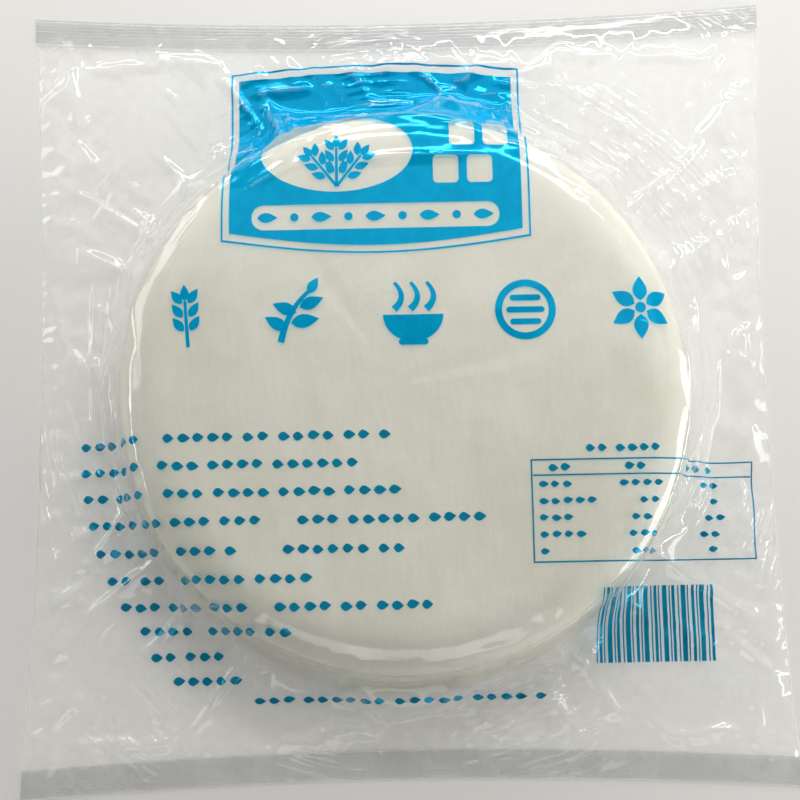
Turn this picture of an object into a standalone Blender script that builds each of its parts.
"""Sealed clear bag lying flat, with a round stack of wafer paper inside it.

Metres, +Z up, +Y towards the top of the bag's print. The origin is on the table, under the
centre of the bag. One closed solid: the film's outer form, filled out to the stack it holds.
"""

import math

import bmesh
import bpy

# Driving dimensions
STACK_RADIUS = 0.100
STACK_HEIGHT = 0.030
STACK_CENTRE = (0.0, -0.003)
BAG_WIDTH = 0.276
BAG_LENGTH = 0.290
SIDE_PULL = 0.005  # the filled bag's edges draw in this much at the middle of each side

# How the film comes down from the stack's rim
SHOULDER = 0.010  # the film starts to bend this far inside the rim
SIDE_REACH = 0.022  # it lands this far outside the rim at the middle of a side
CORNER_REACH = 0.048  # and this far outside the rim on a diagonal
SLOPE_BIAS = 0.88  # below 1 the film drops early, close to the stack's side
CROWN = 0.0012  # the loose sheets rise this much from rim to centre

# The margins, where the front and back film lie together
SEAL_THICKNESS = 0.0012
SEAL_WIDTH = 0.010
MARGIN_PUFF = 0.0030  # air between the two films
SEAL_RISE = 0.008  # the films part over this width beside a seal
FOLD_RISE = 0.022  # and over this width beside a folded side edge

# Gathers, where the flat film has too much length for the round stack
GATHER_HEIGHT = 0.0024
GATHERS_PER_CORNER = 3
GATHER_SPREAD = math.radians(34)
SIDE_CREASE_INSET = 0.030  # a long crease runs beside the stack, this far in from each side
SIDE_CREASE_HEIGHT = 0.0016
SIDE_CREASE_WIDTH = 0.0030

# Mesh density
POINTS_PER_SIDE = 34
INNER_RADII = (0.045, 0.080, 0.092, 0.096, 0.099, 0.1015, 0.104)
OUTER_FRACTIONS = (0.09, 0.18, 0.28, 0.38, 0.49, 0.60, 0.71, 0.80, 0.88, 0.94, 1.0)

FILM_COLOUR = (0.74, 0.73, 0.68, 1.0)
FILM_ROUGHNESS = 0.22


def smooth(value):
    """0 to 1 with level ends."""
    value = min(1.0, max(0.0, value))
    return value * value * (3 - 2 * value)


def pulled_in(along):
    """How far an edge has drawn in, at -1 to 1 along it."""
    return SIDE_PULL * (1 - along * along)


def outline_points():
    """The bag's outline seen from above, anticlockwise from its lower right corner."""
    half_width = BAG_WIDTH / 2
    half_length = BAG_LENGTH / 2
    points = []
    for side in range(4):
        for step in range(POINTS_PER_SIDE):
            along = 2 * step / POINTS_PER_SIDE - 1
            if side % 2 == 0:
                x = half_width - pulled_in(along)
                y = half_length * along
            else:
                x = -half_width * along
                y = half_length - pulled_in(along)
            turn = 1 if side < 2 else -1
            points.append((turn * x, turn * y))
    return points


def edge_distances(x, y):
    """Distance in from the nearest side edge, and from the nearest sealed end."""
    half_width = BAG_WIDTH / 2
    half_length = BAG_LENGTH / 2
    side = half_width - pulled_in(y / half_length) - abs(x)
    end = half_length - pulled_in(x / half_width) - abs(y)
    return side, end


def margin_height(x, y):
    """The top of the two films where they lie on the table, flat at the seals and side folds."""
    side, end = edge_distances(x, y)
    puff = smooth((end - SEAL_WIDTH) / SEAL_RISE) * smooth(side / FOLD_RISE)
    ripple = 0.75 + 0.25 * math.sin(95 * x + 40 * y) * math.cos(70 * y)
    return SEAL_THICKNESS + MARGIN_PUFF * puff * ripple


def landing_reach(angle):
    """How far outside the rim the film lands: least at the sides, most on the diagonals."""
    diagonal = math.sin(2 * angle) ** 2
    return SIDE_REACH + (CORNER_REACH - SIDE_REACH) * diagonal


def gather_height(angle, fall):
    """Folds that run outwards from the rim on the diagonals. fall is 0 at the rim, 1 at landing."""
    offset = (angle % (math.pi / 2)) - math.pi / 4
    window = smooth(1 - abs(offset) / (GATHER_SPREAD / 2 + 0.2))
    wave = math.cos(2 * math.pi * GATHERS_PER_CORNER * offset / GATHER_SPREAD)
    return GATHER_HEIGHT * wave * window * math.sin(math.pi * min(1.0, fall) ** 0.8)


def side_crease_height(x, y):
    """A long low crease beside the stack on each side."""
    inset = abs(abs(x) - (BAG_WIDTH / 2 - SIDE_CREASE_INSET))
    along = smooth(1.2 - abs(y) / (0.62 * BAG_LENGTH / 2))
    return SIDE_CREASE_HEIGHT * smooth(1 - inset / SIDE_CREASE_WIDTH) * along


def film_height(x, y):
    """The outer film's height over a point of the table."""
    across = x - STACK_CENTRE[0]
    up = y - STACK_CENTRE[1]
    radius = math.hypot(across, up)
    angle = math.atan2(up, across)
    outside = radius - STACK_RADIUS
    fall = (outside + SHOULDER) / (landing_reach(angle) + SHOULDER)
    margin = margin_height(x, y)
    if fall <= 0:
        return STACK_HEIGHT + CROWN * smooth(1 - radius / (STACK_RADIUS - SHOULDER))
    if fall >= 1:
        return margin
    drop = smooth(fall**SLOPE_BIAS)
    height = STACK_HEIGHT + (margin - STACK_HEIGHT) * drop
    return height + gather_height(angle, fall) + side_crease_height(x, y) * drop


def ring_radii(reach):
    """Distances from the stack's centre, from near it out to the outline at reach."""
    last = INNER_RADII[-1]
    return INNER_RADII + tuple(last + (reach - last) * part for part in OUTER_FRACTIONS)


def film_surface(mesh, outline):
    """Steps out from the stack's centre, ring by ring, and returns the outline's edges."""
    centre_x, centre_y = STACK_CENTRE
    rays = []
    for x, y in outline:
        reach = math.hypot(x - centre_x, y - centre_y)
        rays.append(((x - centre_x) / reach, (y - centre_y) / reach, ring_radii(reach)))

    def place(ring, step):
        for vert, (cos, sin, radii) in zip(ring, rays):
            x = centre_x + cos * radii[step]
            y = centre_y + sin * radii[step]
            vert.co = (x, y, film_height(x, y))

    ring = bmesh.ops.create_circle(mesh, segments=len(outline), radius=1)["verts"]
    place(ring, 0)
    edges = list(mesh.edges)
    middle = mesh.verts.new((centre_x, centre_y, film_height(centre_x, centre_y)))
    for edge in edges:
        mesh.faces.new((*edge.verts, middle))

    for step in range(1, len(INNER_RADII) + len(OUTER_FRACTIONS)):
        grown = bmesh.ops.extrude_edge_only(mesh, edges=edges)["geom"]
        edges = [item for item in grown if isinstance(item, bmesh.types.BMEdge)]
        edges = [edge for edge in edges if edge.is_boundary]
        following = {}
        for old in ring:
            for edge in old.link_edges:
                other = edge.other_vert(old)
                if other in grown:
                    following[old] = other
        ring = [following[old] for old in ring]
        place(ring, step)
    return edges


def close_below(mesh, edges):
    """The thin wall round the outline, and the flat underside that the bag rests on."""
    grown = bmesh.ops.extrude_edge_only(mesh, edges=edges)["geom"]
    for item in grown:
        if isinstance(item, bmesh.types.BMVert):
            item.co.z = 0
    base = [e for e in grown if isinstance(e, bmesh.types.BMEdge) and e.is_boundary]
    bmesh.ops.contextual_create(mesh, geom=base)


def film_material():
    material = bpy.data.materials.new("bag_film")
    material.use_nodes = True
    shader = material.node_tree.nodes["Principled BSDF"]
    shader.inputs["Base Color"].default_value = FILM_COLOUR
    shader.inputs["Roughness"].default_value = FILM_ROUGHNESS
    shader.inputs["Metallic"].default_value = 0.0
    return material


def make_bag():
    mesh = bmesh.new()
    edges = film_surface(mesh, outline_points())
    close_below(mesh, edges)
    bmesh.ops.recalc_face_normals(mesh, faces=mesh.faces)
    data = bpy.data.meshes.new("bag")
    mesh.to_mesh(data)
    mesh.free()
    data.shade_smooth()
    data.set_sharp_from_angle(angle=math.radians(40))
    data.materials.append(film_material())
    bag = bpy.data.objects.new("bag", data)
    bpy.context.scene.collection.objects.link(bag)
    return bag


for leftover in list(bpy.data.objects):
    bpy.data.objects.remove(leftover)
make_bag()
